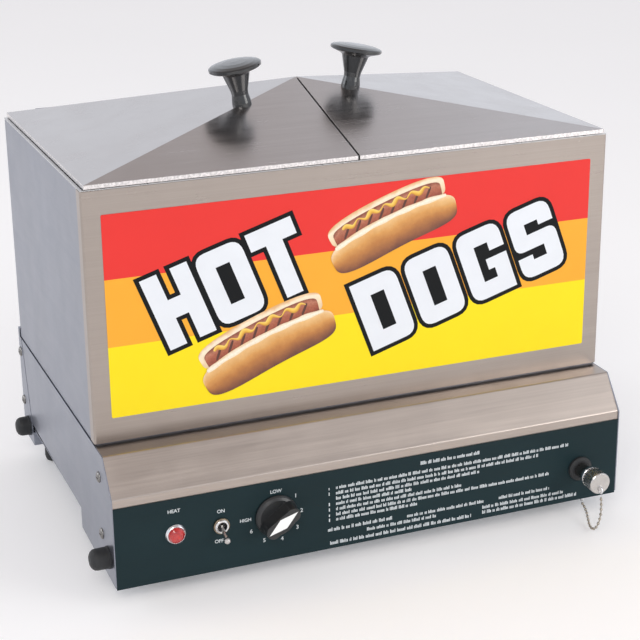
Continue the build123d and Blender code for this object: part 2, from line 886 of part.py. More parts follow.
def arcs(points, share=0.45):
    """The radius of each corner's arc, as large as its two runs allow."""
    radii = []
    for a, b, c in zip(points, points[1:], points[2:]):
        u = Vector(*b) - Vector(*a)
        v = Vector(*c) - Vector(*b)
        turn = math.radians(u.get_angle(v))
        radii.append(share * min(u.length, v.length) / math.tan(turn / 2))
    return radii


chain_radii = arcs(chain_route)
chain_path = FilletPolyline(*chain_route, radius=chain_radii)
chain_plane = Plane(origin=chain_path @ 0, z_dir=chain_path % 0)
parts["drain_chain"] = sweep(chain_plane * Circle(chain_bead / 2), path=chain_path)
print("chain radii", [round(r, 1) for r in chain_radii])
chain_section = math.pi * (chain_bead / 2) ** 2
print("chain length", round(chain_path.length, 1))
print("chain volume", round(parts["drain_chain"].volume, 2), round(chain_section * chain_path.length, 2))

# ---------------------------------------------------------------- racks
tray_top = tank_floor + hot_dog_tray_height
tray_x0 = -tank_half_x + rack_clear
tray_x1 = divider_x - rack_clear
tray_y0 = tank_front_y + rack_clear
tray_y1 = tank_back_y - rack_clear
tray_line = [
    (tray_x0, tank_floor + rack_foot_clear),
    (tray_x0, tray_top),
    (tray_x1, tray_top),
    (tray_x1, tank_floor + rack_foot_clear),
]
tray_face = Plane.XZ.offset(-tray_y1) * folded(list(reversed(tray_line)))
tray = extrude(tray_face, tray_y1 - tray_y0)
columns = int((tray_x1 - tray_x0 - 2 * tray_hole_pitch * 0.7) / tray_hole_pitch) + 1
rows = int((tray_y1 - tray_y0 - 2 * tray_hole_pitch * 0.7) / tray_hole_pitch) + 1
hole_x0 = (tray_x0 + tray_x1) / 2 - (columns - 1) * tray_hole_pitch / 2
hole_y0 = (tray_y0 + tray_y1) / 2 - (rows - 1) * tray_hole_pitch / 2
tray_holes = []
for i in range(columns):
    for j in range(rows):
        hx = hole_x0 + i * tray_hole_pitch
        hy = hole_y0 + j * tray_hole_pitch
        tray_holes.append(rod_z(hx, hy, tray_hole_radius, tray_top - 3, tray_top + 2))
parts["hot_dog_tray"] = tray.cut(*tray_holes)

rack_x0 = seam_bar_half + rack_clear + rack_rod_radius
rack_x1 = tank_half_x - rack_clear - rack_rod_radius
rack_y0 = tank_front_y + rack_clear + rack_rod_radius
rack_y1 = tank_back_y - rack_clear - rack_rod_radius
rack_z = tank_floor + bun_rack_height
rack = Pos(0, 0, 0) * rod_x(rack_y0, rack_z, rack_rod_radius, rack_x0, rack_x1)
pieces = [rod_x(rack_y1, rack_z, rack_rod_radius, rack_x0, rack_x1)]
pieces.append(rod_y(rack_x0, rack_z, rack_rod_radius, rack_y0, rack_y1))
pieces.append(rod_y(rack_x1, rack_z, rack_rod_radius, rack_y0, rack_y1))
for x in (rack_x0, rack_x1):
    for y in (rack_y0, rack_y1):
        pieces.append(Pos(x, y, rack_z) * Sphere(rack_rod_radius + 0.2))
        leg_y = y + rack_leg_inset if y == rack_y0 else y - rack_leg_inset
        pieces.append(rod_z(x, leg_y, rack_leg_radius, tank_floor + rack_foot_clear, rack_z))
wires = int((rack_x1 - rack_x0) / rack_wire_pitch)
for i in range(1, wires + 1):
    wx = rack_x0 + i * (rack_x1 - rack_x0) / (wires + 1)
    pieces.append(rod_y(wx, rack_z + 0.5, rack_wire_radius, rack_y0, rack_y1))
for k in (1, 2):
    wy = rack_y0 + k * (rack_y1 - rack_y0) / 3
    pieces.append(rod_x(wy, rack_z - 1.5, rack_wire_radius, rack_x0, rack_x1))
parts["bun_rack"] = rack.fuse(*pieces)

# ---------------------------------------------------------------- heating element, wiring
element_z = tank_floor - sheet - element_radius
element_path = FilletPolyline(
    (-40.0, tank_front_y + 12, element_z - 18),
    (-40.0, tank_front_y + 12, element_z),
    (-160.0, tank_front_y + 12, element_z),
    (-160.0, tank_back_y - 40, element_z),
    (140.0, tank_back_y - 40, element_z),
    (140.0, tank_front_y + 12, element_z),
    (20.0, tank_front_y + 12, element_z),
    (20.0, tank_front_y + 12, element_z - 18),
    radius=15.0,
)
element_plane = Plane(origin=element_path @ 0, z_dir=element_path % 0)
parts["heating_element"] = sweep(element_plane * Circle(element_radius), path=element_path)
block_z = floor_low + sheet
terminal = block(60, 120, 15, 35, block_z, block_z + 16)
for i in range(5):
    terminal = terminal - block(64 + 11.2 * i, 70 + 11.2 * i, 12, 38, block_z + 10, block_z + 20)
parts["terminal_block"] = terminal
gland_place = Pos(gland_x, rear_face, gland_z) * Rot(-90, 0, 0)
parts["cord_gland"] = turned(
    [
        (gland_bore_radius, -6),
        (gland_radius - 1.6, -6),
        (gland_radius - 1.6, 0),
        (gland_radius, 0),
        (gland_radius, 3),
        (gland_radius - 2.0, 5),
        (gland_radius - 3.2, gland_proud),
        (gland_bore_radius, gland_proud),
    ],
    gland_place,
)

# ---------------------------------------------------------------- origin and files
solids = {}
for name, shape in parts.items():
    solids[name] = shape
cord_nodes = ("drain_chain",)
boxes = [s.bounding_box() for n, s in solids.items() if n not in cord_nodes]
x_low = min(b.min.X for b in boxes)
x_high = max(b.max.X for b in boxes)
y_low = min(b.min.Y for b in boxes)
y_high = max(b.max.Y for b in boxes)
shift = (-(x_low + x_high) / 2, -(y_low + y_high) / 2, 0)
print("shift", shift, "size", x_high - x_low, y_high - y_low, max(b.max.Z for b in boxes))

os.makedirs("parts", exist_ok=True)
for name, shape in solids.items():
    moved = Pos(*shift) * shape
    pieces = moved.solids()
    result = pieces[0] if len(pieces) == 1 else Compound(children=list(pieces))
    result.label = name
    export_step(result, "parts/" + name + ".step")
print(len(solids), "files")
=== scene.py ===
"""Looks for the countertop hot dog steamer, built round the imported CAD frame. Metres, Z up."""

import math
import random

import bpy
from mathutils import Matrix, Vector


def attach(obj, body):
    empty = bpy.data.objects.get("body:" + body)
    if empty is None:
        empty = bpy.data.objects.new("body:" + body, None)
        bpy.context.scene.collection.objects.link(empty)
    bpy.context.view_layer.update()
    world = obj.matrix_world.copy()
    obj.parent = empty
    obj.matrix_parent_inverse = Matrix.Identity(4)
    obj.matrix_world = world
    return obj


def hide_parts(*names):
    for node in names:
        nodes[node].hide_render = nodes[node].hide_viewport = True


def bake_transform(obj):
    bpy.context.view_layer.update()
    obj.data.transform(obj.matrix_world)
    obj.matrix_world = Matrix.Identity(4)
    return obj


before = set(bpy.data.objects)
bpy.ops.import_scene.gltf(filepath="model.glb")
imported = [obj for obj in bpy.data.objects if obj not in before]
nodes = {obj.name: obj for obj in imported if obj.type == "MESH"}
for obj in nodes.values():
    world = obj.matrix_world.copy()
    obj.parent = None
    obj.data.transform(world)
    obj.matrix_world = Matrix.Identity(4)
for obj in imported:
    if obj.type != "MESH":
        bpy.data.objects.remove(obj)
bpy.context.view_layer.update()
scene = bpy.context.scene

# Where the drawing's origin lies in the frame.
ORIGIN_X, ORIGIN_Y = 0.0076629, -0.11395


def at(x, y, z):
    """A point given in the drawing's millimetres, in the frame's metres."""
    return Vector((x / 1000 + ORIGIN_X, y / 1000 + ORIGIN_Y, z / 1000))


# ---------------------------------------------------------------- camera
SENSOR_WIDTH = 36
FOCAL_LENGTH = 92.41875
CAMERA_PLACE = (-0.539, -1.3858, 0.7081)
CAMERA_AZIMUTH, CAMERA_ELEVATION, CAMERA_ROLL = -21.8, 19.7, -0.6


def aim(azimuth, elevation, roll):
    """The turn of a camera that looks at the middle from an azimuth and an elevation (degrees)."""
    a, e = math.radians(azimuth), math.radians(elevation)
    back = Vector((math.sin(a) * math.cos(e), -math.cos(a) * math.cos(e), math.sin(e)))
    turn = back.to_track_quat("Z", "Y").to_matrix()
    return (turn @ Matrix.Rotation(math.radians(roll), 3, "Z")).to_4x4()


lens = bpy.data.cameras.new("camera")
lens.sensor_width = SENSOR_WIDTH
lens.lens = FOCAL_LENGTH
camera = bpy.data.objects.new("camera", lens)
turn = aim(CAMERA_AZIMUTH, CAMERA_ELEVATION, CAMERA_ROLL)
camera.matrix_world = Matrix.Translation(CAMERA_PLACE) @ turn
scene.collection.objects.link(camera)
scene.camera = camera


def add(name, mesh, mat, body):
    """Shows a mesh of one material, moving with a body."""
    obj = bpy.data.objects.new(name, mesh)
    scene.collection.objects.link(obj)
    mesh.materials.clear()
    mesh.materials.append(mat)
    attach(obj, body)
    return obj


def mesh_from(name, points, faces, smooth=False, uvs=None):
    mesh = bpy.data.meshes.new(name)
    mesh.from_pydata([tuple(p) for p in points], [], faces)
    mesh.update()
    if smooth:
        for polygon in mesh.polygons:
            polygon.use_smooth = True
    if uvs:
        layer = mesh.uv_layers.new(name="uv")
        for loop in mesh.loops:
            layer.data[loop.index].uv = uvs[loop.vertex_index]
    return mesh


# ---------------------------------------------------------------- material tools
class Shader:
    """A small builder round one material's node tree."""

    def __init__(self, name, color, metallic=0.0, rough=0.5, **sockets):
        self.mat = bpy.data.materials.new(name)
        self.mat.use_nodes = True
        self.tree = self.mat.node_tree
        self.bsdf = self.tree.nodes["Principled BSDF"]
        self.set("Base Color", (*color, 1))
        self.set("Metallic", metallic)
        self.set("Roughness", rough)
        for key, value in sockets.items():
            self.set(key.replace("_", " "), value)

    def set(self, socket, value):
        self.bsdf.inputs[socket].default_value = value

    def node(self, kind, **values):
        node = self.tree.nodes.new("ShaderNode" + kind)
        for key, value in values.items():
            if hasattr(node, key):
                setattr(node, key, value)
            else:
                node.inputs[key.replace("_", " ")].default_value = value
        return node

    def link(self, a, b):
        self.tree.links.new(a, b)

    def place(self, scale=(1, 1, 1), turn=(0, 0, 0), source="Object"):
        coord = self.node("TexCoord")
        mapping = self.node("Mapping")
        mapping.inputs["Scale"].default_value = scale
        mapping.inputs["Rotation"].default_value = turn
        self.link(coord.outputs[source], mapping.inputs["Vector"])
        return mapping.outputs["Vector"]

    def noise(self, vector, scale=1.0, detail=2.0, rough=0.5, distortion=0.0):
        node = self.node("TexNoise", Scale=scale, Detail=detail, Roughness=rough, Distortion=distortion)
        self.link(vector, node.inputs["Vector"])
        return node.outputs["Fac"]

    def ramp(self, fac, stops, mode="LINEAR"):
        node = self.node("ValToRGB")
        node.color_ramp.interpolation = mode
        items = node.color_ramp.elements
        while len(items) < len(stops):
            items.new(0.5)
        for item, (where, color) in zip(items, stops):
            item.position = where
            item.color = (*color, 1) if len(color) == 3 else color
        self.link(fac, node.inputs["Fac"])
        return node.outputs["Color"]

    def span(self, fac, low, high, to_low, to_high):
        node = self.node("MapRange")
        for i, value in enumerate((low, high, to_low, to_high)):
            node.inputs[i + 1].default_value = value
        self.link(fac, node.inputs[0])
        return node.outputs[0]

    def mix(self, fac, a, b, blend="MIX"):
        node = self.node("Mix", data_type="RGBA", blend_type=blend)
        for i, value in ((0, fac), (6, a), (7, b)):
            if isinstance(value, (tuple, float, int)):
                node.inputs[i].default_value = (*value, 1) if isinstance(value, tuple) else value
            else:
                self.link(value, node.inputs[i])
        return node.outputs[2]

    def math(self, operation, a, b=0.0):
        node = self.node("Math", operation=operation)
        for i, value in ((0, a), (1, b)):
            if isinstance(value, (float, int)):
                node.inputs[i].default_value = value
            else:
                self.link(value, node.inputs[i])
        return node.outputs[0]

    def bump(self, height, strength=0.2, distance=0.001, normal=None):
        node = self.node("Bump", Strength=strength, Distance=distance)
        self.link(height, node.inputs["Height"])
        if normal is not None:
            self.link(normal, node.inputs["Normal"])
        return node.outputs["Normal"]

    def color_from(self, output):
        self.link(output, self.bsdf.inputs["Base Color"])

    def rough_from(self, output):
        self.link(output, self.bsdf.inputs["Roughness"])

    def normal_from(self, output):
        self.link(output, self.bsdf.inputs["Normal"])

    def rounded(self, radius):
        node = self.node("Bevel", samples=4, Radius=radius)
        return node.outputs["Normal"]


def shade(color, k):
    return tuple(min(1.0, c * k) for c in color)


def brushed(name, color, grain, rough=0.3, contrast=0.06, smudge=0.05, edge=0.0006, upright_highlight=1.0):
    """Brushed stainless sheet.

    grain is the scale along X, Y and Z of the brush marks; the last factor sets a painted highlight, a
    brighter speckled colour on every upright face, for the light caught by the lids' front lips.
    """
    s = Shader(name, color, metallic=1.0, rough=rough)
    fine = s.noise(s.place(grain), 1.0, 3.0, 0.65)
    broad = s.noise(s.place(tuple(g * 0.17 for g in grain)), 1.0, 2.0, 0.5)
    cloud = s.noise(s.place((1, 1, 1)), 9.0, 3.0, 0.55, 0.6)
    marks = s.math("ADD", s.math("MULTIPLY", fine, 0.6), s.math("MULTIPLY", broad, 0.4))
    tone = s.ramp(marks, [(0.3, shade(color, 1 - contrast)), (0.7, shade(color, 1 + contrast))])
    dull = s.ramp(cloud, [(0.35, (1, 1, 1)), (0.75, (1 - smudge, 1 - smudge * 1.1, 1 - smudge * 1.2))])
    tone = s.mix(1.0, tone, dull, "MULTIPLY")
    # Painted highlight: upright faces are given a brighter, speckled colour, as if lit along the lids'
    # front lips.
    if upright_highlight != 1.0:
        split = s.node("SeparateXYZ")
        s.link(s.node("TexCoord").outputs["Normal"], split.inputs[0])
        upright = s.math("LESS_THAN", s.math("ABSOLUTE", split.outputs["Z"]), 0.35)
        painted_highlight = s.ramp(
            s.noise(s.place((1, 1, 1)), 420.0, 2.0, 0.6),
            [(0.4, shade(color, upright_highlight * 0.82)), (0.6, shade(color, upright_highlight * 1.12))],
        )
        tone = s.mix(upright, tone, painted_highlight)
    s.color_from(tone)
    hand = s.noise(s.place((1, 1, 1)), 26.0, 4.0, 0.6, 0.3)
    base = s.span(marks, 0.25, 0.75, rough - 0.05, rough + 0.06)
    s.rough_from(s.math("ADD", base, s.span(hand, 0.35, 0.8, -0.02, 0.06)))
    s.normal_from(s.bump(fine, 0.08, 0.0002, s.rounded(edge)))
    return s.mat


# ---------------------------------------------------------------- materials
# One stainless steel in lit and tinted copies: warm on front faces, cool on side and back faces, and
# lighter on the sloped console. This is painted reflection and painted light, standing in for the warm
# front light and cool side light that fall on them.
warm_reflection_tint = (0.400, 0.350, 0.315)
cool_reflection_tint = (0.300, 0.318, 0.370)
front_steel = brushed("front_steel", warm_reflection_tint, (9, 700, 700), 0.30)
console_steel = brushed("console_steel", shade(warm_reflection_tint, 1.2), (11, 640, 640), 0.33, 0.09)
side_steel = brushed("side_steel", cool_reflection_tint, (640, 9, 640), 0.34, 0.05)
lid_steel = brushed("lid_steel", (0.56, 0.535, 0.53), (12, 760, 760), 0.22, 0.05, 0.04, upright_highlight=1.35)
tank_steel = brushed("tank_steel", (0.60, 0.60, 0.60), (300, 300, 9), 0.28, 0.05)
tray_steel = brushed("tray_steel", (0.63, 0.62, 0.61), (9, 480, 480), 0.32, 0.06)
back_steel = brushed("back_steel", shade(cool_reflection_tint, 1.02), (9, 520, 520), 0.36, 0.05)


def plated(name, color, rough=0.14, dirt=0.12):
    s = Shader(name, color, metallic=1.0, rough=rough)
    cloud = s.noise(s.place((1, 1, 1)), 220.0, 3.0, 0.6)
    s.color_from(s.ramp(cloud, [(0.3, shade(color, 1 - dirt)), (0.7, color)]))
    s.rough_from(s.span(cloud, 0.3, 0.8, rough, rough + 0.12))
    scratch = s.noise(s.place((900, 60, 900)), 1.0, 2.0, 0.5)
    s.normal_from(s.bump(scratch, 0.05, 0.0002, s.rounded(0.0003)))
    return s.mat


bright = plated("bright_plating", (0.86, 0.86, 0.88))
nickel = plated("nickel", (0.62, 0.60, 0.58), 0.2)
chain_metal = plated("chain_metal", (0.50, 0.45, 0.38), 0.26, 0.3)
# Darker nickel. On the drain pipe it is painted shade, standing in for the shadow the pipe sits in; the
# screws wear it too.
dark_nickel_and_shade = plated("dark_nickel_and_shade", (0.26, 0.25, 0.24), 0.24, 0.25)
aged_brass = plated("aged_brass", (0.36, 0.29, 0.21), 0.3, 0.3)
galvanised = plated("galvanised", (0.55, 0.56, 0.58), 0.38, 0.22)


def moulded(name, color, rough, coat=0.0, grain=900.0, depth=0.06, wear=0.25):
    s = Shader(name, color, rough=rough, Coat_Weight=coat, Coat_Roughness=0.08)
    fine = s.noise(s.place((1, 1, 1)), grain, 2.0, 0.5)
    cloud = s.noise(s.place((1, 1, 1)), 60.0, 3.0, 0.6)
    s.color_from(s.ramp(cloud, [(0.3, color), (0.75, shade(tuple(c + 0.004 for c in color), 1 + wear))]))
    s.rough_from(s.span(cloud, 0.3, 0.8, rough, min(1.0, rough + 0.12)))
    s.normal_from(s.bump(fine, depth, 0.0003, s.rounded(0.0004)))
    return s.mat


knob_black = moulded("knob_black", (0.010, 0.011, 0.012), 0.16, 0.6, 500.0, 0.02)
dial_black = moulded("dial_black", (0.012, 0.013, 0.014), 0.3, 0.2, 1200.0, 0.08)
rubber = moulded("rubber_black", (0.010, 0.011, 0.012), 0.55, 0.0, 1500.0, 0.25, 0.6)
dark_plastic = moulded("dark_plastic", (0.03, 0.03, 0.032), 0.45)
white_print = moulded("white_print", (0.86, 0.87, 0.85), 0.5, 0.0, 900.0, 0.03, 0.0)
label_white = moulded("label_white", (0.58, 0.62, 0.63), 0.5, 0.0, 900.0, 0.03, 0.0)
small_white = moulded("small_white", (0.60, 0.64, 0.66), 0.5, 0.0, 900.0, 0.03, 0.0)


def panel_material():
    color = (0.0078, 0.020, 0.0235)
    s = Shader("panel_black", color, rough=0.5, Specular_IOR_Level=0.16)
    fine = s.noise(s.place((1, 1, 1)), 1400.0, 2.0, 0.5)
    cloud = s.noise(s.place((5, 5, 14)), 1.0, 4.0, 0.6)
    s.color_from(s.ramp(cloud, [(0.3, color), (0.7, shade(color, 1.35))]))
    s.rough_from(s.span(cloud, 0.3, 0.7, 0.44, 0.58))
    s.normal_from(s.bump(fine, 0.12, 0.0003, s.rounded(0.0003)))
    return s.mat


panel_black = panel_material()


# Heights of the decal's edges and of its colour bands, in the frame's metres.
DECAL_LOW, DECAL_HIGH = 0.1558, 0.3366
YELLOW_TOP, ORANGE_TOP = 0.2195, 0.2794


def decal_material():
    """Printed film: plain colour bands, one above another, by height."""
    s = Shader("decal_bands", (0.9, 0.4, 0.05), rough=0.38, Specular_IOR_Level=0.3)
    coord = s.node("TexCoord")
    split = s.node("SeparateXYZ")
    s.link(coord.outputs["Object"], split.inputs[0])
    height = s.span(split.outputs["Z"], DECAL_LOW, DECAL_HIGH, 0.0, 1.0)
    orange_from = (YELLOW_TOP - DECAL_LOW) / (DECAL_HIGH - DECAL_LOW)
    red_from = (ORANGE_TOP - DECAL_LOW) / (DECAL_HIGH - DECAL_LOW)
    bands = s.ramp(
        height,
        [
            (0.0, (0.90, 0.70, 0.004)),
            (orange_from, (0.85, 0.385, 0.028)),
            (red_from, (0.74, 0.032, 0.026)),
        ],
        "CONSTANT",
    )
    cloud = s.noise(s.place((1, 1, 1)), 14.0, 3.0, 0.6)
    ink = s.ramp(cloud, [(0.3, (0.97, 0.96, 0.95)), (0.7, (1, 1, 1))])
    s.color_from(s.mix(1.0, bands, ink, "MULTIPLY"))
    ripple = s.noise(s.place((1, 1, 1)), 55.0, 2.0, 0.5)
    s.rough_from(s.span(cloud, 0.3, 0.7, 0.3, 0.4))
    s.normal_from(s.bump(ripple, 0.05, 0.0006))
    return s.mat


decal = decal_material()


def ink(name, color, rough=0.4, coat=0.1, specular=0.3):
    s = Shader(name, color, rough=rough, Coat_Weight=coat, Coat_Roughness=0.25, Specular_IOR_Level=specular)
    cloud = s.noise(s.place((1, 1, 1)), 40.0, 3.0, 0.6)
    s.color_from(s.ramp(cloud, [(0.3, shade(color, 0.97)), (0.7, color)]))
    s.rough_from(s.span(cloud, 0.3, 0.7, rough - 0.04, rough + 0.06))
    return s.mat


letter_white = ink("letter_white", (0.74, 0.765, 0.80))
letter_black = ink("letter_black", (0.006, 0.007, 0.008), 0.5, 0.0, 0.15)


def painted_band(name, stops, grain=1.0, speck=0.12):
    """Ink that changes across a drawn shape, from one edge (0) to the other (1)."""
    s = Shader(name, stops[len(stops) // 2][1], rough=0.42, Coat_Weight=0.2, Coat_Roughness=0.25)
    coord = s.node("TexCoord")
    split = s.node("SeparateXYZ")
    s.link(coord.outputs["UV"], split.inputs[0])
    wobble = s.noise(s.place((1, 1, 1)), 90.0 * grain, 3.0, 0.6)
    across = s.math("ADD", split.outputs["Y"], s.span(wobble, 0.3, 0.7, -0.07, 0.07))
    tone = s.ramp(across, stops)
    fleck = s.noise(s.place((1, 1, 1)), 420.0 * grain, 3.0, 0.7)
    mottled = s.ramp(fleck, [(0.35, (1 - speck, 1 - speck * 1.3, 1 - speck * 1.6)), (0.65, (1, 1, 1))])
    s.color_from(s.mix(1.0, tone, mottled, "MULTIPLY"))
    s.rough_from(s.span(fleck, 0.3, 0.7, 0.38, 0.5))
    return s.mat


bun_ink = painted_band(
    "bun_ink",
    [(0.0, (0.12, 0.036, 0.020)), (0.18, (0.26, 0.085, 0.026)), (0.42, (0.47, 0.18, 0.035)),
     (0.62, (0.64, 0.30, 0.07)), (0.84, (0.76, 0.46, 0.18)), (1.0, (0.84, 0.62, 0.38))],
    0.7, 0.06,
)
bun_back_ink = painted_band(
    "bun_back_ink",
    [(0.0, (0.74, 0.52, 0.30)), (0.55, (0.88, 0.70, 0.47)), (0.85, (0.90, 0.76, 0.56)),
     (1.0, (0.72, 0.42, 0.18))],
    0.7, 0.06,
)
sausage_ink = painted_band(
    "sausage_ink",
    [(0.0, (0.14, 0.026, 0.014)), (0.3, (0.31, 0.065, 0.030)), (0.62, (0.42, 0.115, 0.055)),
     (0.8, (0.50, 0.19, 0.11)), (1.0, (0.24, 0.055, 0.028))],
    1.2, 0.25,
)
crumb_ink = painted_band(
    "crumb_ink",
    [(0.0, (0.88, 0.74, 0.52)), (0.5, (0.95, 0.88, 0.74)), (1.0, (0.84, 0.66, 0.44))],
    2.0, 0.12,
)
mustard_ink = painted_band(
    "mustard_ink",
    [(0.0, (0.50, 0.20, 0.02)), (0.4, (0.78, 0.44, 0.04)), (0.8, (0.86, 0.60, 0.12))],
    2.0, 0.05,
)
grill_ink = painted_band(
    "grill_ink",
    [(0.0, (0.10, 0.022, 0.012)), (0.5, (0.07, 0.018, 0.010)), (1.0, (0.16, 0.04, 0.02))],
)


def lens_material():
    s = Shader(
        "lamp_red", (0.62, 0.012, 0.012), rough=0.1, Coat_Weight=1.0, Coat_Roughness=0.03,
        Transmission_Weight=0.25, IOR=1.49,
    )
    rings = s.node("TexWave", wave_type="RINGS", rings_direction="Y", Scale=160.0)
    s.link(s.place((1, 1, 1)), rings.inputs["Vector"])
    cloud = s.noise(s.place((1, 1, 1)), 260.0, 2.0, 0.5)
    s.color_from(s.ramp(cloud, [(0.3, (0.45, 0.006, 0.008)), (0.7, (0.80, 0.035, 0.03))]))
    s.rough_from(s.span(cloud, 0.3, 0.7, 0.07, 0.14))
    s.normal_from(s.bump(rings.outputs["Fac"], 0.12, 0.0002))
    return s.mat


lamp_red = lens_material()


def element_material():
    color = (0.16, 0.13, 0.12)
    s = Shader("element_sheath", color, metallic=0.85, rough=0.55)
    cloud = s.noise(s.place((1, 1, 1)), 45.0, 4.0, 0.65)
    tones = [(0.3, (0.09, 0.075, 0.07)), (0.6, (0.22, 0.17, 0.14)), (0.85, (0.30, 0.27, 0.26))]
    s.color_from(s.ramp(cloud, tones))
    s.rough_from(s.span(cloud, 0.3, 0.7, 0.45, 0.7))
    s.normal_from(s.bump(s.noise(s.place((1, 1, 1)), 600.0, 3.0, 0.6), 0.2, 0.0003))
    return s.mat


sheath = element_material()

# Which nodes of the frame wear which material.
LOOK = {
    front_steel: ["cabinet_front"],
    console_steel: ["base_console"],
    side_steel: ["cabinet_side_left", "cabinet_side_right", "base_side_left", "base_side_right"],
    lid_steel: ["lid_left", "lid_right", "seam_bar"],
    back_steel: [
        "cabinet_back", "rear_cover", "base_floor", "base_deck",
        "hinge_leaf_left", "hinge_leaf_right", "lid_hinge_leaf_left", "lid_hinge_leaf_right",
    ],
    tank_steel: ["water_tank", "compartment_divider"],
    tray_steel: ["hot_dog_tray", "bun_rack"],
    panel_black: ["control_panel"],
    decal: ["front_decal"],
    knob_black: ["knob_left", "knob_right"],
    dial_black: ["thermostat_dial"],
    white_print: ["dial_pointer"],
    rubber: [
        "bumper_front_left", "bumper_rear_left", "drain_grommet",
        "foot_front_left", "foot_front_right", "foot_rear_left", "foot_rear_right",
    ],
    dark_plastic: ["lamp_body", "terminal_block", "toggle_switch", "cord_gland"],
    bright: [
        "drain_collar", "cap_eye", "chain_anchor", "lamp_bezel", "toggle_bushing",
        "knob_screw_left", "knob_screw_right", "hinge_pin_left", "hinge_pin_right",
    ],
    nickel: ["drain_cap", "toggle_lever"],
    aged_brass: ["toggle_nut"],
    galvanised: ["thermostat_body", "thermostat_shaft"],
    # Painted shade: the drain pipe wears the dark nickel for the shadow it sits in.
    dark_nickel_and_shade: [
        "drain_pipe", "side_screws_left", "side_screws_right", "cover_screws_left", "cover_screws_right",
    ],
    lamp_red: ["lamp_lens"],
    sheath: ["heating_element"],
}
for mat, names in LOOK.items():
    for name in names:
        for slot in nodes[name].material_slots:
            slot.material = mat


# ---------------------------------------------------------------- flat print
# Where the face of each printed layer lies (mm). The cabinet's front is at 0, and less is nearer.
SHADOW_Y, LETTER_Y, HOLE_Y = -0.5, -0.6, -0.7
BUN_BACK_Y, SAUSAGE_Y, MARK_Y, MUSTARD_Y, BUN_FRONT_Y, CRUMB_Y = -0.55, -0.66, -0.71, -0.77, -0.88, -0.99
LETTER_DEPTH = 0.09
SHADOW_GROW = 3.9
# Neighbouring shadows overlap, so each lies a little in front of the one before it.
SHADOW_STAGGER = 0.012


def signed_area(outline):
    """Twice the area of an outline: above zero when its points run anticlockwise."""
    return sum(
        outline[i - 1][0] * outline[i][1] - outline[i][0] * outline[i - 1][1] for i in range(len(outline))
    )


def sheet_mesh(name, outlines, y, depth, stagger=0.0):
    """Closed outlines in the drawing's X and Z, as thin plates.

    The first plate's face is at y (mm), and each later one is stagger further forward.
    """
    points, faces = [], []
    y += stagger
    for outline in outlines:
        y -= stagger
        start, n = len(points), len(outline)
        points += [at(x, y, z) for x, z in outline] + [at(x, y + depth, z) for x, z in outline]
        order = list(range(n)) if signed_area(outline) > 0 else list(reversed(range(n)))
        faces.append([start + i for i in order])
        for a, b in zip(order, order[1:] + order[:1]):
            faces.append([start + a, start + n + a, start + n + b, start + b])
    return mesh_from(name, points, faces)


def grow(outline, d):
    """An outline moved outwards by d, with its corners kept sharp."""
    n = len(outline)
    sign = 1 if signed_area(outline) > 0 else -1
    out = []
    for i in range(n):
        p, q, r = (Vector(outline[j % n]) for j in (i - 1, i, i + 1))
        a, b = (q - p).normalized(), (r - q).normalized()
        na, nb = Vector((a.y, -a.x)) * sign, Vector((b.y, -b.x)) * sign
        k = 1 + na.dot(nb)
        m = (na + nb) / max(k, 0.35)
        out.append(tuple(q + m * d))
    return out


# Plain block letters on a grid. A third number in a point rounds that corner.
GRID_WIDE, GRID_HIGH = 10, 14
OUTER, INNER = 2.5, 1.8
LETTERS = {
    "H": [(0, 0), (3.6, 0), (3.6, 5.2), (6.4, 5.2), (6.4, 0), (10, 0), (10, 14), (6.4, 14), (6.4, 8.8),
          (3.6, 8.8), (3.6, 14), (0, 14)],
    "O": [(0, 0, OUTER), (10, 0, OUTER), (10, 14, OUTER), (0, 14, OUTER)],
    "T": [(3.2, 0), (6.8, 0), (6.8, 10.6), (10, 10.6), (10, 14), (0, 14), (0, 10.6), (3.2, 10.6)],
    "D": [(0, 0), (10, 0, OUTER), (10, 14, OUTER), (0, 14)],
    "G": [(0, 0, OUTER), (10, 0), (10, 7.5), (5.2, 7.5), (5.2, 5.3), (6.6, 5.3), (6.6, 3.3), (3.5, 3.3),
          (3.5, 10.7), (6.6, 10.7), (6.6, 8.9), (10, 8.9), (10, 14, OUTER), (0, 14, OUTER)],
    "S": [(0, 0, OUTER), (10, 0, OUTER), (10, 8.5, INNER), (3.5, 8.5), (3.5, 10.7), (6.6, 10.7), (6.6, 9.6),
          (10, 9.6), (10, 14, OUTER), (0, 14, OUTER), (0, 5.5, INNER), (6.5, 5.5), (6.5, 3.3), (3.4, 3.3),
          (3.4, 4.4), (0, 4.4)],
}
# What is printed black behind each letter: G and S have it across their gaps too.
BACKS = dict(LETTERS, G=[(0, 0, OUTER), (10, 0), (10, 14, OUTER), (0, 14, OUTER)], S=LETTERS["O"])
HOLES = {
    "O": [(3.5, 3.3), (6.5, 3.3), (6.5, 10.7), (3.5, 10.7)],
    "D": [(3.5, 3.3), (6.5, 3.3), (6.5, 10.7), (3.5, 10.7)],
}


def soften(shape, steps=5):
    """An outline with its marked corners rounded."""
    out, n = [], len(shape)
    for i in range(n):
        p, q, r = (Vector(shape[j % n][:2]) for j in (i - 1, i, i + 1))
        radius = shape[i][2] if len(shape[i]) > 2 else 0
        if not radius:
            out.append(tuple(q))
            continue
        a, b = q + (p - q).normalized() * radius, q + (r - q).normalized() * radius
        for k in range(steps + 1):
            t = k / steps
            out.append(tuple((1 - t) ** 2 * a + 2 * t * (1 - t) * q + t * t * b))
    return out


def word(text, x, z, height, width, pitch, slope, lean, shapes):
    """Outlines of a word whose first letter starts at (x, z).

    Each letter stands on a line that rises by slope degrees, and is tipped by lean degrees.
    """
    outlines = []
    rise = math.tan(math.radians(slope))
    back = math.tan(math.radians(lean))
    for i, letter in enumerate(text):
        if letter not in shapes:
            continue
        placed = []
        for u, v in soften(shapes[letter]):
            tip = (v - GRID_HIGH / 2) / GRID_HIGH * height * back
            px = x + i * pitch + u / GRID_WIDE * width - tip
            placed.append((px, z + (px - x) * rise + v / GRID_HIGH * height))
        outlines.append(placed)
    return outlines


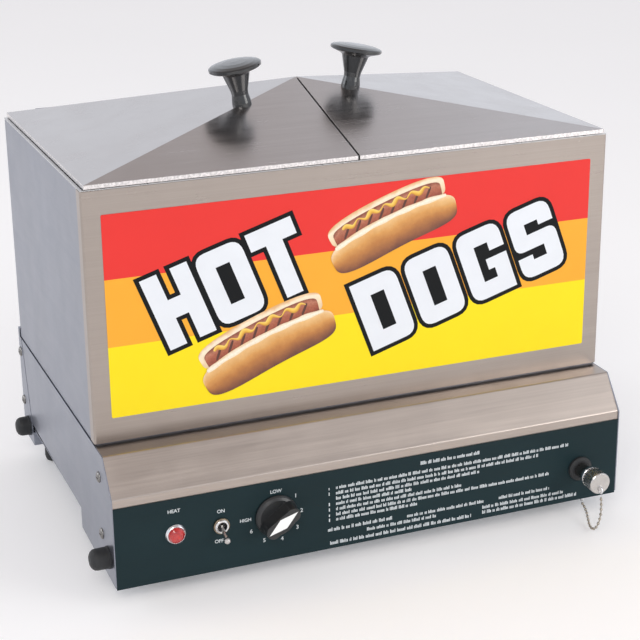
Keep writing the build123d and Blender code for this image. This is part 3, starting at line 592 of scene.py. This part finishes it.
letters, backs, holes = [], [], []
for shapes, found in ((LETTERS, letters), (BACKS, backs), (HOLES, holes)):
    found += word(
        "HOT", x=-188.9, z=205.9, height=73, width=42, pitch=47.2, slope=17, lean=19, shapes=shapes
    )
    found += word(
        "DOGS", x=1.8, z=176.6, height=72, width=43, pitch=51, slope=17, lean=18.5, shapes=shapes
    )
shadows = [grow(outline, SHADOW_GROW) for outline in backs]
shadow_mesh = sheet_mesh("decal_letter_shadow", shadows, SHADOW_Y, LETTER_DEPTH, SHADOW_STAGGER)
add("decal_letter_shadow", shadow_mesh, letter_black, "root")
add("decal_letters", sheet_mesh("decal_letters", letters, LETTER_Y, LETTER_DEPTH), letter_white, "root")
hole_mesh = sheet_mesh("decal_letter_inner", holes, HOLE_Y, LETTER_DEPTH)
add("decal_letter_inner", hole_mesh, letter_black, "root")


def band(name, line, half_width, y, ends=2.6, steps=44):
    """A rounded band drawn along a curve.

    line(t) gives its middle and half_width(t) its half width (mm). Larger ends make its ends blunter.
    """
    points, faces, uvs = [], [], []
    rows = 9
    for i in range(steps + 1):
        t = i / steps
        t = 0.5 - 0.5 * math.cos(math.pi * t)
        x, z = line(t)
        x2, z2 = line(min(1.0, t + 0.01))
        x1, z1 = line(max(0.0, t - 0.01))
        d = Vector((x2 - x1, z2 - z1)).normalized()
        n = Vector((-d.y, d.x))
        w = half_width(t) * max(0.0, 1 - abs(2 * t - 1) ** ends) ** (1 / ends)
        for j in range(rows):
            v = j / (rows - 1)
            p = Vector((x, z)) + n * w * (2 * v - 1)
            points.append(at(p.x, y, p.y))
            uvs.append((t, v))
    for i in range(steps):
        for j in range(rows - 1):
            a = i * rows + j
            faces.append([a, a + rows, a + rows + 1, a + 1])
    return mesh_from(name, points, faces, uvs=uvs)


MARK_COUNT = 8


def hot_dog(tag, x, z, length, turn, seed):
    """A drawn hot dog: two bun halves, a marked sausage between them and a wavy line of mustard."""
    c, s = math.cos(math.radians(turn)), math.sin(math.radians(turn))
    wave = random.Random(seed).uniform(0, 1)
    h = length * 0.112

    def placed(u, v):
        return x + u * c - v * s, z + u * s + v * c

    def arc(offset, share, bow):
        def line(t):
            return placed((t - 0.5) * length * share, offset - bow * (2 * t - 1) ** 2)
        return line

    def streak(t):
        u = (t - 0.5) * length * 0.70
        ripple = h * 0.13 * math.sin(2 * math.pi * 6.5 * t + wave)
        return placed(u, h * 1.06 + ripple - 0.2 * h * (2 * t - 1) ** 2)

    def mark(k):
        def line(t):
            u = length * (-0.33 + 0.66 * k / (MARK_COUNT - 1)) + h * 0.55 * (t - 0.5)
            return placed(u, h * (0.40 + 0.62 * t) - 0.25 * h * (u / (0.5 * length)) ** 2)
        return line

    def rippled(middle, swing, pace):
        return lambda t: h * (middle + swing * math.sin(pace * t + wave))

    def paint(part, ink_used, *shape):
        name = tag + "_" + part
        add(name, band(name, *shape), ink_used, "root")

    paint("bun_back", bun_back_ink, arc(h * 0.86, 0.93, h * 0.25), lambda t: h * 0.86, BUN_BACK_Y, 4.0)
    paint("sausage", sausage_ink, arc(h * 0.62, 0.86, h * 0.22), lambda t: h * 0.72, SAUSAGE_Y, 5.0)
    for k in range(MARK_COUNT):
        paint("mark_" + str(k + 1), grill_ink, mark(k), lambda t: h * 0.085, MARK_Y, 3.0, 10)
    paint("mustard", mustard_ink, streak, rippled(0.10, 0.06, 23), MUSTARD_Y, 8.0, 160)
    paint("bun_front", bun_ink, arc(-h * 0.72, 1.0, h * 0.30), rippled(1.16, 0.03, 6), BUN_FRONT_Y, 3.6)
    paint("crumb", crumb_ink, arc(h * 0.26, 0.90, h * 0.34), rippled(0.17, 0.03, 31), CRUMB_Y, 6.0)


hot_dog("upper_dog", x=30, z=301, length=126, turn=19.5, seed=3)
hot_dog("lower_dog", x=-90, z=207, length=130, turn=20.5, seed=8)


# ---------------------------------------------------------------- control panel print
def type_outline(text, size, x, z, y, name, mat):
    """Plain generic control words and numbers, as thin print on the panel."""
    curve = bpy.data.curves.new(name, "FONT")
    curve.body = text
    curve.size = size
    curve.align_x = "CENTER"
    curve.align_y = "CENTER"
    curve.offset = size * 0.018
    holder = bpy.data.objects.new(name, curve)
    scene.collection.objects.link(holder)
    bpy.context.view_layer.update()
    flat = bpy.data.meshes.new_from_object(holder.evaluated_get(bpy.context.evaluated_depsgraph_get()))
    bpy.data.objects.remove(holder)
    flat.name = name
    for v in flat.vertices:
        v.co = at(x + v.co.x, y, z + v.co.y)
    return add(name, flat, mat, "root")


# The panel's words and numbers: name, text, size, and the place of the middle (mm).
PRINT_Y = -46.62
MARKS = (
    ("mark_heat", "HEAT", 4.6, -193.2, 81.2),
    ("mark_on", "ON", 4.6, -150.9, 73.0),
    ("mark_off", "OFF", 4.6, -153.4, 44.6),
    ("mark_low", "LOW", 4.6, -99.9, 82.4),
    ("mark_high", "HIGH", 4.4, -128.6, 59.8),
    ("mark_1", "1", 5.2, -81.4, 74.8),
    ("mark_2", "2", 5.2, -76.0, 59.5),
    ("mark_3", "3", 5.2, -80.2, 43.9),
    ("mark_4", "4", 5.2, -94.8, 35.4),
    ("mark_5", "5", 5.2, -111.6, 37.0),
    ("mark_6", "6", 5.2, -123.6, 48.0),
)
for name, text, size, x, z in MARKS:
    type_outline(text, size, x, z, PRINT_Y, name, label_white)


# How wide a block is, and the gaps between blocks and between words (mm).
BLOCK_WIDE, BLOCK_GAP, WORD_GAP = (0.6, 1.1), 0.34, (1.1, 1.7)


def greeked(name, rows, seed):
    """Blocks that stand for a paragraph of small print, with no letters in it."""
    rng = random.Random(seed)
    outlines = []
    for x0, x1, z, tall in rows:
        x = x0
        while x < x1:
            for _ in range(rng.choice((2, 3, 4, 5, 6, 7))):
                wide = rng.uniform(*BLOCK_WIDE)
                high = tall * rng.choice((0.74, 0.74, 0.78, 1.05, 1.05))
                if x + wide > x1:
                    break
                outlines.append([(x, z), (x + wide, z), (x + wide, z + high), (x, z + high)])
                x += wide + BLOCK_GAP
            x += rng.uniform(*WORD_GAP)
    return sheet_mesh(name, outlines, PRINT_Y, PRINT_DEPTH)


# Each row of small print: where it starts and ends, its foot and its nominal height (mm).
PRINT_DEPTH = 0.08
rows = [
    (40, 101, 82.4, 3.3), (-43, 193, 74.0, 3.1), (-43, 162, 68.6, 3.1), (-43, 101, 63.4, 3.1),
    (-43, 32, 58.3, 3.1), (-43, 83, 53.0, 3.1), (-43, 175, 47.8, 3.1), (-43, 37, 42.8, 3.1),
    (-51, 12, 33.2, 3.3), (27, 105, 32.2, 3.1), (121, 175, 32.6, 3.1), (-13, 57, 26.8, 3.1),
    (104, 190, 26.0, 3.1), (104, 205, 20.8, 3.3), (-49, 93, 19.8, 3.3),
]
rows += [(-50, -48.2, z, 3.0) for z in (74.0, 68.6, 58.3, 53.0, 47.8, 42.8)]
add("panel_small_print", greeked("panel_small_print", rows, 11), small_white, "root")

# ---------------------------------------------------------------- bead chain
# Control points from the cap's eye to the anchor, in the drawing's millimetres. The radii are in metres.
CHAIN_ROUTE = [
    (206.5, -86.8, 36.63),
    (205.9, -89.8, 26.5),
    (203.5, -91.2, 14.0),
    (200.9, -88.0, 4.4),
    (201.9, -77.8, 1.6),
    (207.1, -65.0, 4.6),
    (210.9, -55.0, 8.4),
    (213.0, -43.3, 10.3),
]
BEAD_RADIUS = 0.0014
BEAD_COUNT = 17
LINK_RADIUS = 0.0006
AROUND = 12
BEAD_STEPS = 8


def smooth_line(route):
    """The points of the smooth spline that has the route's points as its control points."""
    curve = bpy.data.curves.new("chain_line", "CURVE")
    curve.dimensions = "3D"
    curve.resolution_u = 10
    spline = curve.splines.new("NURBS")
    spline.points.add(len(route) - 1)
    for point, place in zip(spline.points, route):
        point.co = (*at(*place), 1)
    spline.order_u = 3
    spline.use_endpoint_u = True
    holder = bpy.data.objects.new("chain_line", curve)
    mesh = bpy.data.meshes.new_from_object(holder)
    points = [v.co.copy() for v in mesh.vertices]
    bpy.data.meshes.remove(mesh)
    bpy.data.objects.remove(holder)
    bpy.data.curves.remove(curve)
    return points


def ring(centre, direction, radius):
    """A circle of points square to direction."""
    side = direction.cross(Vector((1, 0, 0))).normalized()
    up = direction.cross(side).normalized()
    turns = [2 * math.pi * j / AROUND for j in range(AROUND)]
    return [centre + radius * (math.cos(t) * side + math.sin(t) * up) for t in turns]


def lathe(points, faces, rings, first, last):
    """Closes a row of rings into one skin, with an end point at each end."""
    start = len(points)
    points.append(first)
    for one in rings:
        points.extend(one)
    points.append(last)
    for j in range(AROUND):
        k = (j + 1) % AROUND
        faces.append([start, start + 1 + k, start + 1 + j])
        for i in range(len(rings) - 1):
            a = start + 1 + i * AROUND
            faces.append([a + j, a + k, a + AROUND + k, a + AROUND + j])
        a = start + 1 + (len(rings) - 1) * AROUND
        faces.append([a + j, a + k, len(points) - 1])


def bead_chain(line):
    """Round beads on a thin wire along the line."""
    points, faces = [], []
    along = [(b - a).normalized() for a, b in zip(line, line[1:])]
    along.append(along[-1])
    lathe(points, faces, [ring(p, d, LINK_RADIUS) for p, d in zip(line, along)], line[0], line[-1])
    pitch = sum((b - a).length for a, b in zip(line, line[1:])) / BEAD_COUNT
    due, walked = pitch / 2, 0.0
    for a, b, d in zip(line, line[1:], along):
        step = (b - a).length
        while due <= walked + step:
            centre = a.lerp(b, (due - walked) / step)
            rings = []
            for i in range(1, BEAD_STEPS):
                t = math.pi * i / BEAD_STEPS
                rings.append(ring(centre - d * BEAD_RADIUS * math.cos(t), d, BEAD_RADIUS * math.sin(t)))
            lathe(points, faces, rings, centre - d * BEAD_RADIUS, centre + d * BEAD_RADIUS)
            due += pitch
        walked += step
    return mesh_from("drain_bead_chain", points, faces, smooth=True)


chain_line = smooth_line(CHAIN_ROUTE)
chain = bpy.data.objects.new("drain_bead_chain", bead_chain(chain_line))
scene.collection.objects.link(chain)
chain.data.materials.append(chain_metal)
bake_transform(chain)
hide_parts("drain_chain")


# ---------------------------------------------------------------- stage and light
FLOOR_HALF = 8
FLOOR_Z = -0.0002
FLOOR_GLOW = 0.15


def stage_floor(color):
    """A pale, faintly glowing floor just under the feet."""
    r = FLOOR_HALF
    corners = [(-r, -r, FLOOR_Z), (r, -r, FLOOR_Z), (r, r, FLOOR_Z), (-r, r, FLOOR_Z)]
    mesh = mesh_from("floor", corners, [[0, 1, 2, 3]])
    obj = bpy.data.objects.new("floor", mesh)
    scene.collection.objects.link(obj)
    s = Shader("floor", color, rough=0.9)
    cloud = s.noise(s.place((1, 1, 1)), 3.0, 2.0, 0.5)
    s.color_from(s.ramp(cloud, [(0.3, shade(color, 0.99)), (0.7, color)]))
    s.set("Emission Color", (1.0, 1.0, 1.0, 1))
    s.set("Emission Strength", FLOOR_GLOW)
    mesh.materials.append(s.mat)


stage_floor((0.93, 0.93, 0.93))

world = bpy.data.worlds.new("studio")
scene.world = world
world.use_nodes = True
tree = world.node_tree
background = tree.nodes["Background"]


def studio(kind, *inputs, **values):
    """One node of the studio's backdrop, with its inputs linked or set in order."""
    node = tree.nodes.new("ShaderNode" + kind)
    for key, value in values.items():
        setattr(node, key, value)
    for i, value in enumerate(inputs):
        if hasattr(value, "links"):
            tree.links.new(value, node.inputs[i])
        elif value is not None:
            node.inputs[i].default_value = value
    return node


split = studio("SeparateXYZ", studio("TexCoord").outputs["Generated"])
side_lift = studio("MapRange", split.outputs["X"], 0.30, 0.60, 0.0, 0.26)
raised = studio("Math", split.outputs["Z"], side_lift.outputs[0], operation="SUBTRACT")
overhead = studio("MapRange", raised.outputs[0], 0.40, 0.74, 0.0, 1.0, interpolation_type="SMOOTHSTEP")
sky = studio("Mix", overhead.outputs[0], data_type="RGBA")
sky.inputs[6].default_value = (0.93, 0.96, 1.03, 1)
sky.inputs[7].default_value = (0.56, 0.51, 0.50, 1)
tree.links.new(sky.outputs[2], background.inputs["Color"])
background.inputs["Strength"].default_value = 0.95


def softbox(name, place, target, size, power, color):
    """A rectangular area light at place, facing target."""
    light = bpy.data.lights.new(name, "AREA")
    light.shape = "RECTANGLE"
    light.size, light.size_y = size
    light.energy = power
    light.color = color
    obj = bpy.data.objects.new(name, light)
    scene.collection.objects.link(obj)
    direction = Vector(place) - Vector(target)
    obj.matrix_world = Matrix.Translation(place) @ direction.to_track_quat("Z", "Y").to_matrix().to_4x4()


softbox("key", (-1.3, -2.4, 2.2), (0, 0, 0.15), (1.5, 1.0), 24, (1.0, 0.97, 0.93))
softbox("fill", (1.7, -1.9, 0.9), (0.5, -0.6, 0.0), (1.4, 1.0), 17, (1.0, 0.98, 0.95))
softbox("rim", (-2.2, 1.2, 1.2), (0, 0, 0.3), (1.4, 1.0), 10, (0.92, 0.95, 1.0))

scene.view_settings.view_transform = "Standard"
scene.view_settings.look = "None"

bpy.context.view_layer.update()
